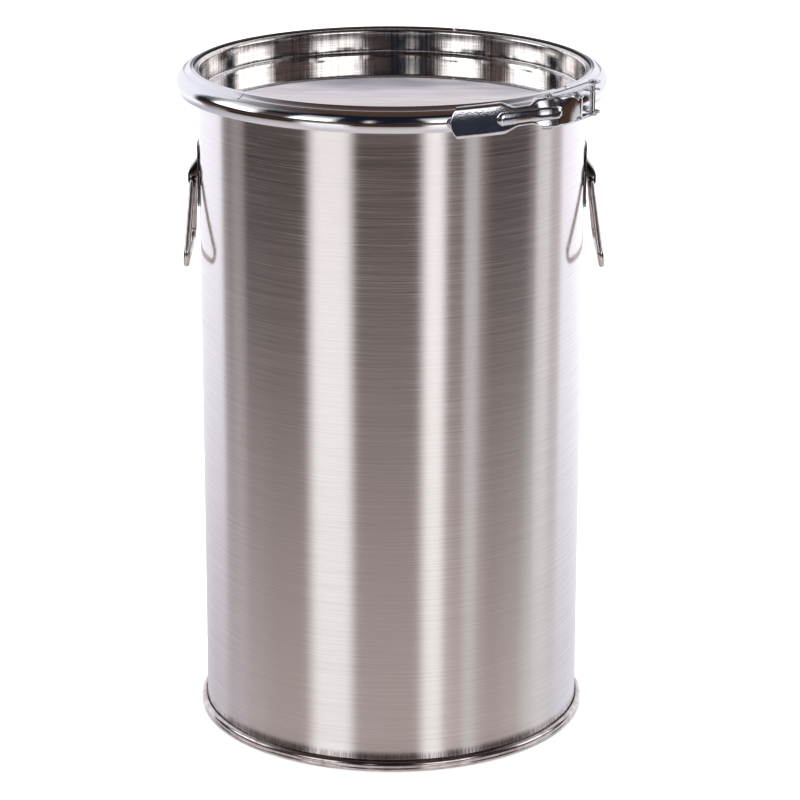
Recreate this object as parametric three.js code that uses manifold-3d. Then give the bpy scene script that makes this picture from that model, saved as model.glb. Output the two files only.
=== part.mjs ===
// Straight-sided stainless transport can: a body with a double-seamed base and a curled mouth, a recessed
// lid under a split clamp ring with an over-centre lever latch, and a drop handle on each side.
// Millimetres, +Z up, origin at the centre of the base on the standing plane.
// The latch is on the front right.
// Azimuth is in degrees, 0 at the front (-Y) and 90 on the right (+X).
import * as THREE from "three";
import { mergeVertices } from "three/addons/utils/BufferGeometryUtils.js";
import Module from "manifold-3d";

const wasm = await Module();
wasm.setup();

// Driving dimensions.
const BODY_RADIUS = 170;
const SHEET = 0.8; // body, base and lid sheet
const GAP = 0.35; // least space between neighbouring pieces
const TURN_STEPS = 48; // facets round the can
const BAND_STEP = 2.2; // degrees between the facets of a piece that follows the can
const ROUND_STEPS = 24; // facets of a hole or barrel
const THROUGH = 40; // how far a cutting shape reaches past what it cuts

const SEAM_RADIUS = 175.3; // outermost radius of the base seam
const SEAM_HEIGHT = 9;
const SEAM_LIP_RADIUS = 173.5; // where the seam turns onto the standing face
const SEAM_LIP_RISE = 3; // height where the lip meets the seam's outer wall
const SEAM_ROUND = 1.4; // at the seam's outer shoulder
const SEAM_HOOK = { radius: 171, foot: 3.2, round: 0.7 }; // inner face and free end of the base sheet's hook
const BODY_HOOK = { radius: 172.8, top: 6.4, rise: 2.4, round: 0.9 }; // the body's own hook inside the seam
const SEAL_Z = [6.8, 7.7];
const SEAL_RADII = [172.3, 173.2];
const BASE_FLOOR = 12; // inside floor of the can
const BASE_ROUND = 2;

const CURL_RADIUS = 6.4; // rolled bead round the mouth, outside
const CURL_Z = 583; // its centre
const CURL_END = -120; // the sheet's free end, tucked under the bead

const RING_Z = 585.7; // mid-height of the clamp ring
const RING_TOP = 596.7;
const RING_BOTTOM = 574.7;
const RING_SHEET = 1.5;
const RING_FACE = { r: 176.8, z: 581.6, radius: 12.2 }; // arc of the rounded outer face, so it reaches 189
const RING_FACE_ENDS = [56, -30]; // degrees above and below the level through its centre
const RING_FOOT_RADIUS = 184.2; // where the face turns in under the bead
const RING_TOP_EDGE = 173.6;
const RING_BOTTOM_EDGE = 174.5;
const RING_SLOPE = 0.49; // the upper flange falls this much for each millimetre outwards
const RING_GAP = [51.8, 57.4]; // azimuths of the two ring ends
const RING_SLITS = [-44.3, 161]; // azimuths of the cuts that let the ring spring open
const SLIT_WIDTH = 1.1;
const SLIT_DEPTH_RADIUS = 184;
const SLIT_RUN_IN = 4; // how far inside the flange a saw cut starts
const SECTOR_REACH = 260; // radius beyond every piece
const BRIDGE_AZ = [48.4, 60.4];
const BRIDGE_RADII = [184.4, 185.4];
const BRIDGE_Z = [578, 586.5];

const LID_TOP = 594.5; // crown of the lid's rim
const LID_PANEL = 572; // upper face of the recessed panel
const LID_WALL_TOP_RADIUS = 168.2; // inner face of the recess
const LID_WALL_BOTTOM_RADIUS = 167.6;
const LID_CORNER = 1.6; // between the wall and the panel
const LID_INNER_ROUND = 3.5;
const LID_CROWN_END = 173.8; // where the flat crown of the rim starts to slope
const LID_RIM_RADIUS = 183.5;
const LID_RIM_TURN = 181; // where the sloping rim turns down
const LID_RIM_DROP = 3; // height of that turn
const LID_SKIRT_Z = 584; // lower edge of the turned-down rim
const GASKET_HEIGHT = 1.8;
const GASKET_RADII = [173.6, 180.4];
const GASKET_CLEARANCE = 0.55;

// A pin's head is flat over part of its radius, above a straight rim that is part of its height.
const HEAD_FLAT = 0.7;
const HEAD_RIM = 0.5;
const LEVER_PIN = { az: 50.3, r: 202, radius: 2.2, headRadius: 3.6, head: 0.9 };
const LINK_RIVET = { az: 41.4, r: 196.3, radius: 2.6, headRadius: 4.4, head: 1.6 };
const LINK_PIN = { az: 59, r: 198, radius: 2.6, headRadius: 4.4, head: 1.6 };
const BARREL_RADIUS = 4;
const BARREL_HALF_HEIGHT = 8;
const LATCH_SHEET = 1.5;
const LEVER_EARS = { nose: 5, roots: [-4.4, 1.2], saddle: [-5.4, 1.4] }; // azimuths from the bracket's pin
const CATCH_EARS = { nose: 6, roots: [-1.3, 3.6], saddle: [-1.4, 4] };
const EAR_ROOT_RADII = [180.6, 188.9]; // of the upper and the lower ear
const JAW_CLEARANCE = 0.7;
const JAW_REACH = 12;
const JAW_TILT = 10; // degrees by which the jaw leans along the pin's path
const PIN_STEPS = 12;
const SADDLE_ENDS = [52, -27]; // how far round the ring's face a bracket reaches, in degrees
const SADDLE_TOP_RADIUS = 179; // and how far in over the upper flange
const LINK_HALF_WIDTH = 4.7;
const LINK_TAIL_AZ = 60.3; // end of a link plate's middle line, past the end pin
const LINK_PLATE_Z = 12.2; // inner face of each link plate, from the ring's mid-height

const GRIP_AZ = [15, 29.5];
const GRIP_HALF_HEIGHT = 13;
const NECK_AZ = [29, 50.3];
const NECK_HALF_HEIGHT = 8;
const FLARE_AZ = [36.5, 48.2]; // where the lever is tall again, up to its barrel
const CHEEK_AZ = [37, 44.2]; // the lever's two cheeks, which the rivet crosses
const CHEEK_HALF_HEIGHT = 11.8;
const RIB_AZ = [26.7, 43.6];
const RIB_HALF_HEIGHT = 4.8;
const RIB_RISE = 1.8;
const GRIP_ROLL_RADIUS = 190.2; // how far in the grip's rolled edges reach
const GRIP_ROLL_SETBACK = 1.4; // degrees from the grip's end to its rolled edges
// Azimuth and radius of the lever's outer face, from the free end to the pivot.
const LEVER_FACE = [
  [15, 195.8],
  [20.5, 194.9],
  [29, 196.8],
  [41.4, 203],
  [50.3, 206],
];

const HANDLE_PLATE_Z = [470, 526];
const HANDLE_PLATE_HALF_WIDTH = 20;
const HANDLE_PLATE_SHEET = 1.5;
const HANDLE_STANDOFF = 0.3;
const HANDLE_CORNER = 8;
const BAIL_PIVOT = { r: 175.3, z: 493 };
const BAIL_WIRE_RADIUS = 2.75;
const BAIL_CLEARANCE = 0.45; // in the tongue's hook
const TONGUE_HALF_WIDTH = 10;
const TONGUE_TOP = 512;
const TONGUE_ROOT = 3; // how far it runs on inside the plate
const TONGUE_INSET = 0.1;
const WINDOW_DROP = 8; // how far below the pivot the tongue's window reaches
const TONGUE_SHEET = 1.3;
const TONGUE_TURN = 501; // where the tongue becomes vertical
const TONGUE_HOOK_END = -112;
const BAIL_TOP_HALF = 17;
const BAIL_BOTTOM_HALF = 57.5;
const BAIL_DROP = 67.5;
const BAIL_TOP_BEND = 7;
const BAIL_BOTTOM_BEND = 17;
const BAIL_END_GAP = 0.6; // between the wire's two ends, hidden in the tongue
const BAIL_LEAN = { left: 4, right: 7.5 }; // degrees that each bail stands off the wall

const INNER_RADIUS = BODY_RADIUS - SHEET;
const DEGREE = Math.PI / 180;

// ---------------------------------------------------------------- shape helpers

const point = (x, y) => new THREE.Vector2(x, y);

function polar(az, r) {
  return point(r * Math.sin(az * DEGREE), -r * Math.cos(az * DEGREE));
}

function arc(centreX, centreY, radius, from, to, steps) {
  return Array.from({ length: steps + 1 }, (_, i) => {
    const angle = (from + ((to - from) * i) / steps) * DEGREE;
    return point(centreX + radius * Math.cos(angle), centreY + radius * Math.sin(angle));
  });
}

// The same line moved sideways by distance, to its left if distance is positive.
function offset(line, distance) {
  return line.map((p, i) => {
    const before = line[Math.max(i - 1, 0)];
    const after = line[Math.min(i + 1, line.length - 1)];
    const into = p.clone().sub(before).normalize();
    const out = after.clone().sub(p).normalize();
    const along = into.clone().add(out).normalize();
    const end = i === 0 ? out : into;
    const spread = distance / Math.max(along.dot(end), 0.5);
    return point(p.x - along.y * spread, p.y + along.x * spread);
  });
}

// The outline of a bent sheet of the given thickness round a middle line.
function sheet(line, thickness) {
  return [...offset(line, thickness / 2), ...offset(line, -thickness / 2).reverse()];
}

function revolve(outline) {
  const onAxis = outline[0].x === 0;
  const closed = onAxis ? outline : [...outline, outline[0]];
  const facingOut = THREE.ShapeUtils.area(outline) > 0 ? closed : closed.reverse();
  return new THREE.LatheGeometry(facingOut, TURN_STEPS).rotateX(Math.PI / 2);
}

// A flat shape in X and Y, raised from one height to another.
function raise(outline, low, high, holes = []) {
  const shape = new THREE.Shape(outline);
  shape.holes = holes.map((h) => new THREE.Path().absarc(h.x, h.y, h.radius, 0, 2 * Math.PI, false));
  const options = { depth: high - low, bevelEnabled: false, curveSegments: 10 };
  return new THREE.ExtrudeGeometry(shape, options).translate(0, 0, low);
}

// A band that follows the can between two azimuths; its radii are numbers or functions of azimuth.
function band(azimuths, inner, outer, low, high) {
  const steps = Math.max(2, Math.ceil((azimuths[1] - azimuths[0]) / BAND_STEP));
  const at = (side, i) => {
    const az = azimuths[0] + ((azimuths[1] - azimuths[0]) * i) / steps;
    return polar(az, typeof side === "function" ? side(az) : side);
  };
  const count = Array.from({ length: steps + 1 }, (_, i) => i);
  return raise([...count.map((i) => at(outer, i)), ...count.reverse().map((i) => at(inner, i))], low, high);
}

// A strap with round ends round a middle line.
function strap(line, halfWidth) {
  const start = line[0];
  const end = line[line.length - 1];
  const heading = (a, b) => Math.atan2(b.y - a.y, b.x - a.x) / DEGREE;
  const first = heading(start, line[1]);
  const last = heading(line[line.length - 2], end);
  return [
    ...offset(line, -halfWidth).slice(1, -1),
    ...arc(end.x, end.y, halfWidth, last - 90, last + 90, 8),
    ...offset(line, halfWidth).slice(1, -1).reverse(),
    ...arc(start.x, start.y, halfWidth, first + 90, first + 270, 8),
  ];
}

// A round outline about a place given by azimuth and radius.
function circle({ az, r }, radius) {
  const at = polar(az, r);
  return arc(at.x, at.y, radius, 0, 360 - 360 / ROUND_STEPS, ROUND_STEPS - 1);
}

// A round cutter along Z, to pass through every piece of the latch.
function drill(place, radius) {
  return solid(raise(circle(place, radius), RING_Z - THROUGH, RING_Z + THROUGH));
}

function solid(geometry) {
  const bare = geometry.clone();
  bare.deleteAttribute("normal");
  bare.deleteAttribute("uv");
  const merged = mergeVertices(bare, 1e-4);
  const corners = merged.index.array;
  const kept = [];
  for (let i = 0; i < corners.length; i += 3) {
    const [a, b, c] = corners.slice(i, i + 3);
    if (a !== b && b !== c && c !== a) kept.push(a, b, c);
  }
  const vertProperties = merged.attributes.position.array;
  const triVerts = new Uint32Array(kept);
  return new wasm.Manifold(new wasm.Mesh({ numProp: 3, vertProperties, triVerts }));
}

function geometryOf(shape) {
  const mesh = shape.getMesh();
  const geometry = new THREE.BufferGeometry();
  geometry.setAttribute("position", new THREE.BufferAttribute(mesh.vertProperties, 3));
  geometry.setIndex(new THREE.BufferAttribute(mesh.triVerts, 1));
  geometry.computeVertexNormals();
  return geometry;
}

function join(geometries) {
  return geometries.map(solid).reduce((a, b) => a.add(b));
}

// ---------------------------------------------------------------- body and base

// The base sheet wraps the seam from inside the wall, round the bottom and down into the body's hook.
function basePan() {
  const half = SHEET / 2;
  const wall = INNER_RADIUS - GAP - half;
  const hook = SEAM_HOOK.radius + half;
  const outside = SEAM_RADIUS - half;
  const crown = SEAM_HEIGHT - half;
  return revolve(
    sheet(
      [
        point(0, BASE_FLOOR - half),
        point(wall - BASE_ROUND, BASE_FLOOR - half),
        point(wall, BASE_FLOOR - half - BASE_ROUND),
        point(wall, half),
        point(SEAM_LIP_RADIUS - half, half),
        point(outside, SEAM_LIP_RISE),
        point(outside, crown - SEAM_ROUND),
        point(outside - SEAM_ROUND, crown),
        point(hook + SEAM_HOOK.round, crown),
        point(hook, crown - SEAM_HOOK.round),
        point(hook, SEAM_HOOK.foot),
      ],
      SHEET,
    ),
  );
}

// One sheet: the hook inside the base seam, the straight wall, and the bead rolled outwards round the mouth.
function bodyShell() {
  const half = SHEET / 2;
  const wall = BODY_RADIUS - half;
  const foot = SHEET + GAP + half;
  const { radius, top, rise, round } = BODY_HOOK;
  const curl = arc(INNER_RADIUS + CURL_RADIUS, CURL_Z, CURL_RADIUS - half, 180, CURL_END, 10);
  return revolve(
    sheet(
      [
        point(radius, top),
        point(radius, rise),
        point(radius - round, foot),
        point(wall + round, foot),
        point(wall, rise),
        ...curl,
      ],
      SHEET,
    ),
  );
}

// Sealing compound laid in the seam, between the base sheet's hook and the body's.
function seamSeal() {
  const [low, high] = SEAL_Z;
  const [inner, outer] = SEAL_RADII;
  return revolve([point(inner, low), point(outer, low), point(outer, high), point(inner, high)]);
}

// ---------------------------------------------------------------- handles

// A plate curved to the wall, with a tongue lanced from it and rolled round the bail's upper bar.
function handlePlate() {
  const inner = BODY_RADIUS + HANDLE_STANDOFF;
  const outer = inner + HANDLE_PLATE_SHEET;
  const reach = Math.asin(HANDLE_PLATE_HALF_WIDTH / outer) / DEGREE;
  const [low, high] = HANDLE_PLATE_Z;
  const blank = band([90 - reach, 90 + reach], inner, outer, low, high);
  const w = HANDLE_PLATE_HALF_WIDTH - HANDLE_CORNER;
  const c = HANDLE_CORNER;
  const face = [
    ...arc(w, high - c, c, 0, 90, 5),
    ...arc(-w, high - c, c, 90, 180, 5),
    ...arc(-w, low + c, c, 180, 270, 5),
    ...arc(w, low + c, c, 270, 360, 5),
  ];
  const X = new THREE.Vector3(1, 0, 0);
  const Y = new THREE.Vector3(0, 1, 0);
  const Z = new THREE.Vector3(0, 0, 1);
  const throughWall = new THREE.Matrix4().makeBasis(Y, Z, X);
  const rounded = raise(face, inner - THROUGH, outer + THROUGH).applyMatrix4(throughWall);

  const t = TONGUE_SHEET;
  const hookRadius = BAIL_WIRE_RADIUS + BAIL_CLEARANCE + t / 2;
  const { r, z } = BAIL_PIVOT;
  const tongueLine = [
    point(inner + TONGUE_INSET + t / 2, TONGUE_TOP + TONGUE_ROOT),
    point(inner + TONGUE_INSET + t / 2, TONGUE_TOP),
    point(r + hookRadius, TONGUE_TURN),
    ...arc(r, z, hookRadius, 0, TONGUE_HOOK_END, 7),
  ];
  const acrossWall = new THREE.Matrix4().makeBasis(X, Z, Y.clone().negate());
  const tongue = raise(sheet(tongueLine, t), -TONGUE_HALF_WIDTH, TONGUE_HALF_WIDTH).applyMatrix4(acrossWall);
  const windowFoot = z - WINDOW_DROP;
  const window = new THREE.BoxGeometry(THROUGH, 2 * (TONGUE_HALF_WIDTH + GAP), TONGUE_TOP - windowFoot);
  window.translate(inner, 0, (TONGUE_TOP + windowFoot) / 2);
  return geometryOf(solid(blank).intersect(solid(rounded)).subtract(solid(window)).add(solid(tongue)));
}

// A bent round wire with its ends meeting in the middle of the upper bar. Its pivot is the local origin.
function bail() {
  const corners = [
    [BAIL_TOP_HALF, 0, BAIL_TOP_BEND],
    [BAIL_BOTTOM_HALF, -BAIL_DROP, BAIL_BOTTOM_BEND],
    [-BAIL_BOTTOM_HALF, -BAIL_DROP, BAIL_BOTTOM_BEND],
    [-BAIL_TOP_HALF, 0, BAIL_TOP_BEND],
  ].map(([y, z, bend]) => ({ at: new THREE.Vector3(0, y, z), bend }));
  const path = new THREE.CurvePath();
  let from = new THREE.Vector3(0, BAIL_END_GAP / 2, 0);
  const end = new THREE.Vector3(0, -BAIL_END_GAP / 2, 0);
  corners.forEach(({ at, bend }, i) => {
    const next = i + 1 < corners.length ? corners[i + 1].at : end;
    const into = at.clone().add(from.clone().sub(at).setLength(bend));
    const out = at.clone().add(next.clone().sub(at).setLength(bend));
    path.add(new THREE.LineCurve3(from, into));
    path.add(new THREE.QuadraticBezierCurve3(into, at, out));
    from = out;
  });
  path.add(new THREE.LineCurve3(from, end));
  const section = new THREE.Shape(arc(0, 0, BAIL_WIRE_RADIUS, 0, 315, 7));
  return new THREE.ExtrudeGeometry(section, { steps: 40, extrudePath: path, bevelEnabled: false });
}

// ---------------------------------------------------------------- lid

// Height of the ring's sloping upper flange, or of a surface the given distance outside it.
function flangeZ(r, outwards) {
  return RING_TOP - (r - RING_TOP_EDGE) * RING_SLOPE + outwards * Math.hypot(1, RING_SLOPE);
}

// The middle of the lid's sloping rim, which lies just under that flange.
function rimMiddle(r) {
  return flangeZ(r, -RING_SHEET - GAP - SHEET / 2);
}

function lidPan() {
  const half = SHEET / 2;
  const top = LID_TOP - half;
  const innerRound = LID_INNER_ROUND - half;
  const innerCentre = LID_WALL_TOP_RADIUS + LID_INNER_ROUND;
  return revolve(
    sheet(
      [
        point(0, LID_PANEL - half),
        point(LID_WALL_BOTTOM_RADIUS - LID_CORNER, LID_PANEL - half),
        point(LID_WALL_BOTTOM_RADIUS + half, LID_PANEL + LID_CORNER),
        ...arc(innerCentre, top - innerRound, innerRound, 180, 90, 4),
        point(LID_CROWN_END, rimMiddle(LID_CROWN_END)),
        point(LID_RIM_TURN, rimMiddle(LID_RIM_TURN)),
        point(LID_RIM_RADIUS - half, rimMiddle(LID_RIM_TURN) - LID_RIM_DROP),
        point(LID_RIM_RADIUS - half, LID_SKIRT_Z),
      ],
      SHEET,
    ),
  );
}

function lidGasket() {
  const under = (r) => rimMiddle(r) - SHEET / 2 - GASKET_CLEARANCE;
  const [inner, outer] = GASKET_RADII;
  return revolve([
    point(inner, under(inner) - GASKET_HEIGHT),
    point(outer, under(outer) - GASKET_HEIGHT),
    point(outer, under(outer)),
    point(inner, under(inner)),
  ]);
}

// ---------------------------------------------------------------- clamp ring

// Part of the ring's rounded face, moved outwards by the given distance.
function ringFace(outwards, from, to, steps) {
  return arc(RING_FACE.r, RING_FACE.z, RING_FACE.radius + outwards, from, to, steps);
}

function sector(azimuths) {
  const corners = [point(0, 0), ...azimuths.map((az) => polar(az, SECTOR_REACH))];
  return solid(raise(corners, RING_Z - THROUGH, RING_Z + THROUGH));
}

// A split channel that grips the lid's rim and the body's bead, with two saw cuts across its flanges.
function clampRing() {
  const half = RING_SHEET / 2;
  const line = [
    point(RING_TOP_EDGE, flangeZ(RING_TOP_EDGE, -half)),
    ...ringFace(-half, ...RING_FACE_ENDS, 6),
    point(RING_FOOT_RADIUS, RING_BOTTOM + half),
    point(RING_BOTTOM_EDGE, RING_BOTTOM + half),
  ];
  const channel = solid(revolve(sheet(line, RING_SHEET)));
  const slitReach = SLIT_DEPTH_RADIUS - RING_TOP_EDGE + SLIT_RUN_IN;
  const cut = RING_SLITS.reduce((ring, az) => {
    const middle = polar(az, SLIT_DEPTH_RADIUS - slitReach / 2);
    const slit = new THREE.BoxGeometry(SLIT_WIDTH, slitReach, THROUGH).rotateZ(az * DEGREE);
    return ring.subtract(solid(slit.translate(middle.x, middle.y, RING_Z)));
  }, channel);
  return geometryOf(cut.subtract(sector(RING_GAP)));
}

// A tongue fixed inside the ring's left end, which slides in the other and covers the gap.
function ringGapBridge() {
  const [inner, outer] = BRIDGE_RADII;
  const [low, high] = BRIDGE_Z;
  const hoop = [point(inner, low), point(outer, low), point(outer, high), point(inner, high)];
  return geometryOf(solid(revolve(hoop)).intersect(sector(BRIDGE_AZ)));
}

// A saddle wrapped on the ring's face.
function saddle(azimuths) {
  const outwards = GAP + LATCH_SHEET / 2;
  const top = point(SADDLE_TOP_RADIUS, flangeZ(SADDLE_TOP_RADIUS, outwards));
  const middle = [top, ...ringFace(outwards, ...SADDLE_ENDS, 6)];
  return solid(revolve(sheet(middle, LATCH_SHEET))).intersect(sector(azimuths));
}

// ---------------------------------------------------------------- latch

const EAR_Z = BARREL_HALF_HEIGHT + GAP;

// The same piece twice, at equal heights above and below the ring's middle.
function aboveAndBelow(make, inner, thickness) {
  return [
    make(RING_Z + inner, RING_Z + inner + thickness),
    make(RING_Z - inner - thickness, RING_Z - inner),
  ];
}

// Two ears that stand out from a saddle, one above the other, with round noses at a pin's place.
function ears({ az, r }, { nose, roots }) {
  const at = polar(az, r);
  const round = arc(at.x, at.y, nose, az - 180, az, 8);
  const outline = (root) => [polar(az + roots[0], root), ...round, polar(az + roots[1], root)];
  const [upper, lower] = EAR_ROOT_RADII.map(outline);
  const top = RING_Z + EAR_Z;
  const bottom = RING_Z - EAR_Z;
  return join([raise(upper, top, top + LATCH_SHEET), raise(lower, bottom - LATCH_SHEET, bottom)]);
}

function bracket(place, shape, opening) {
  const foot = saddle(shape.saddle.map((turn) => place.az + turn));
  return geometryOf(ears(place, shape).subtract(opening).add(foot));
}

// A saddle on the ring's left end with two ears that hold the lever's pivot pin.
function leverBracket() {
  return bracket(LEVER_PIN, LEVER_EARS, drill(LEVER_PIN, LEVER_PIN.radius + GAP));
}

// A saddle on the ring's right end with two ears, each with a jaw open outwards that takes the link's pin.
function catchBracket() {
  const { az, r, radius } = LINK_PIN;
  const at = polar(az, r);
  const heading = (az - 90 - JAW_TILT) * DEGREE;
  const mouth = point(at.x + JAW_REACH * Math.cos(heading), at.y + JAW_REACH * Math.sin(heading));
  const jaw = raise(strap([at, mouth], radius + JAW_CLEARANCE), RING_Z - THROUGH, RING_Z + THROUGH);
  return bracket(LINK_PIN, CATCH_EARS, solid(jaw));
}

// A pin along Z with a head at each end, standing at a place given by azimuth and radius.
function pin({ az, r, radius, headRadius, head }, shank) {
  const profile = [
    point(0, -shank - head),
    point(headRadius * HEAD_FLAT, -shank - head),
    point(headRadius, -shank - head * HEAD_RIM),
    point(headRadius, -shank),
    point(radius, -shank),
    point(radius, shank),
    point(headRadius, shank),
    point(headRadius, shank + head * HEAD_RIM),
    point(headRadius * HEAD_FLAT, shank + head),
    point(0, shank + head),
  ];
  const place = polar(az, r);
  const turned = new THREE.LatheGeometry(profile, PIN_STEPS).rotateX(Math.PI / 2);
  return turned.translate(place.x, place.y, RING_Z);
}

// The radius of the lever's outer face: bowed at the free end, close to the ring, then out to the pivot.
function leverFace(az) {
  const i = Math.max(LEVER_FACE.findIndex(([end]) => az <= end), 1);
  const [a, ra] = LEVER_FACE[i - 1];
  const [b, rb] = LEVER_FACE[i];
  const share = (az - a) / (b - a);
  const eased = share * share * (3 - 2 * share);
  return ra + (rb - ra) * eased;
}

// A formed strip: a tall grip with rolled edges, a narrow neck with a raised rib, two cheeks for the rivet,
// and an end rolled into a barrel round the pivot pin.
function closingLever() {
  const under = (az) => leverFace(az) - LATCH_SHEET;
  const middle = (az) => leverFace(az) - LATCH_SHEET / 2;
  const high = (half) => [RING_Z - half, RING_Z + half];
  const rollAz = [GRIP_AZ[0] + GRIP_ROLL_SETBACK, GRIP_AZ[1]];
  const roll = (low, top) => band(rollAz, GRIP_ROLL_RADIUS, middle, low, top);
  const cheekFoot = LINK_RIVET.r - LINK_HALF_WIDTH;
  const cheek = (low, top) => band(CHEEK_AZ, cheekFoot, leverFace, low, top);
  const joined = (half) => half - LATCH_SHEET;
  const barrel = raise(circle(LEVER_PIN, BARREL_RADIUS), ...high(NECK_HALF_HEIGHT));
  const bore = drill(LEVER_PIN, LEVER_PIN.radius + GAP);
  const rivetHole = drill(LINK_RIVET, LINK_RIVET.radius + GAP);
  const pieces = [
    band(GRIP_AZ, under, leverFace, ...high(GRIP_HALF_HEIGHT)),
    ...aboveAndBelow(roll, joined(GRIP_HALF_HEIGHT), LATCH_SHEET),
    band(NECK_AZ, under, leverFace, ...high(NECK_HALF_HEIGHT)),
    band(RIB_AZ, under, (az) => leverFace(az) + RIB_RISE, ...high(RIB_HALF_HEIGHT)),
    band(FLARE_AZ, under, leverFace, ...high(CHEEK_HALF_HEIGHT)),
    ...aboveAndBelow(cheek, joined(CHEEK_HALF_HEIGHT), LATCH_SHEET),
    barrel,
  ];
  return geometryOf(join(pieces).subtract(bore).subtract(rivetHole));
}

// Two curved link plates, one above the ring and one below, run from the lever's rivet to the end pin.
function linkPlate(low, high) {
  const spread = (LINK_PIN.r - LINK_RIVET.r) / (LINK_PIN.az - LINK_RIVET.az);
  const line = Array.from({ length: 8 }, (_, i) => {
    const turn = ((LINK_TAIL_AZ - LINK_RIVET.az) * i) / 7;
    return polar(LINK_RIVET.az + turn, LINK_RIVET.r + spread * turn);
  });
  const holes = [LINK_RIVET, LINK_PIN].map(({ az, r, radius }) => {
    const at = polar(az, r);
    return { x: at.x, y: at.y, radius: radius + GAP };
  });
  return raise(strap(line, LINK_HALF_WIDTH), low, high, holes);
}

// ---------------------------------------------------------------- the can

const STAINLESS = { color: 0xc4bcb8, roughness: 0.3, metalness: 1 };
const POLISHED = { color: 0xd3cdd3, roughness: 0.12, metalness: 1 };
const CHROME = { color: 0xc0bec7, roughness: 0.08, metalness: 1 };
const RUBBER = { color: 0x8d8a86, roughness: 0.8, metalness: 0 };

const can = new THREE.Group();

function add(name, geometry, look) {
  const mesh = new THREE.Mesh(geometry, new THREE.MeshStandardMaterial(look));
  mesh.name = name;
  can.add(mesh);
  return mesh;
}

add("body_shell", bodyShell(), STAINLESS);
add("base_pan", basePan(), STAINLESS);
add("seam_seal", seamSeal(), RUBBER);

add("right_handle_plate", handlePlate(), STAINLESS);
add("left_handle_plate", handlePlate(), STAINLESS).rotation.z = Math.PI;
const rightBail = add("right_bail", bail(), STAINLESS);
rightBail.position.set(BAIL_PIVOT.r, 0, BAIL_PIVOT.z);
rightBail.rotation.y = -BAIL_LEAN.right * DEGREE;
const leftBail = add("left_bail", bail(), STAINLESS);
leftBail.position.set(-BAIL_PIVOT.r, 0, BAIL_PIVOT.z);
leftBail.rotation.y = BAIL_LEAN.left * DEGREE;

add("lid_pan", lidPan(), POLISHED);
add("lid_gasket", lidGasket(), RUBBER);

add("clamp_ring", clampRing(), CHROME);
add("ring_gap_bridge", ringGapBridge(), CHROME);
add("lever_bracket", leverBracket(), CHROME);
add("catch_bracket", catchBracket(), CHROME);
add("lever_pivot_pin", pin(LEVER_PIN, EAR_Z + LATCH_SHEET + GAP), CHROME);
add("closing_lever", closingLever(), CHROME);
const [upperPlate, lowerPlate] = aboveAndBelow(linkPlate, LINK_PLATE_Z, LATCH_SHEET);
add("link_plate_upper", upperPlate, CHROME);
add("link_plate_lower", lowerPlate, CHROME);
add("link_rivet", pin(LINK_RIVET, LINK_PLATE_Z + LATCH_SHEET + GAP), CHROME);
add("link_end_pin", pin(LINK_PIN, LINK_PLATE_Z + LATCH_SHEET + GAP), CHROME);

export default can;
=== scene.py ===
"""Looks of the straight-sided stainless transport can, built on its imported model. Lengths are in millimetres
until a mesh is made, azimuths are in degrees, 0 at the front (-Y) and 90 on the right (+X)."""

import math

import bmesh
import bpy
from mathutils import Matrix, Vector, noise


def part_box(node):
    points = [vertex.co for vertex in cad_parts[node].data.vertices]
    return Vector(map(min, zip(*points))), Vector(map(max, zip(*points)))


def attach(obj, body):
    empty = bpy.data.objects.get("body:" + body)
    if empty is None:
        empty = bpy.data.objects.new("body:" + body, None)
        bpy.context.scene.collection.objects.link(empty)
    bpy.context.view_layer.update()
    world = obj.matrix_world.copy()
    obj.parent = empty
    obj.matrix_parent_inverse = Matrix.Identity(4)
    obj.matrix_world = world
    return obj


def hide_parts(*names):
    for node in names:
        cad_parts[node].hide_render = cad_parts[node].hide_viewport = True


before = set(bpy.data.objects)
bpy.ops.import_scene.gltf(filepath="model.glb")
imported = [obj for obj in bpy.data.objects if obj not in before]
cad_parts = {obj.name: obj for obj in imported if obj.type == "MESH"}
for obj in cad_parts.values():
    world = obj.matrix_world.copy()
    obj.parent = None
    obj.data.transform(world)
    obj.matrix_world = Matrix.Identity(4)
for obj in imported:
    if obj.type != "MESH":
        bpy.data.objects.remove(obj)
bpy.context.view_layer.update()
MM = 0.001
TURN_STEPS = 288


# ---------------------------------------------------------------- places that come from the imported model


def box(node):
    low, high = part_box(node)
    return [c / MM for c in low], [c / MM for c in high]


BODY_HIGH = box("body_shell")[1]
SEAM_RADIUS = box("base_pan")[1][0]
SEAM_HEIGHT = box("base_pan")[1][2] - 3
RING_LOW, RING_HIGH = box("clamp_ring")
RING_TOP, RING_BOTTOM = RING_HIGH[2], RING_LOW[2]
RING_Z = (RING_TOP + RING_BOTTOM) / 2
LID_LOW, LID_HIGH = box("lid_pan")
LID_PANEL = LID_LOW[2] + 0.8
LID_TOP = LID_HIGH[2]
PLATE_LOW, PLATE_HIGH = box("right_handle_plate")
CURL_OUTER = BODY_HIGH[0]

SHEET = 0.8  # body, base and lid
BODY_RADIUS = 170
INNER_RADIUS = BODY_RADIUS - SHEET
CURL_RADIUS = (CURL_OUTER - INNER_RADIUS) / 2
CURL_Z = BODY_HIGH[2] - CURL_RADIUS
GAP = 0.35  # between sheets that lie on each other

BODY_HOOK_RADIUS = 172.8
BODY_HOOK_Z = (1.55, 6.4)
BODY_HOOK_BEND = 0.9
FLARE = ((8.6, 0.72), (10.5, 0.52), (13, 0.27), (15.5, 0.08), (18, 0))  # (height, lean)
WALL_Z = (30, 60, 120, 200, 300, 400, 500, 560)
BACK_WELD_AZ = 180
SEAM_LIP_RADIUS = SEAM_RADIUS - 2.5
SEAM_LIP = 1.5
SEAM_ROLL = 3.2
BASE_FLOOR = 12
BASE_DISH = 1.2

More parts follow.
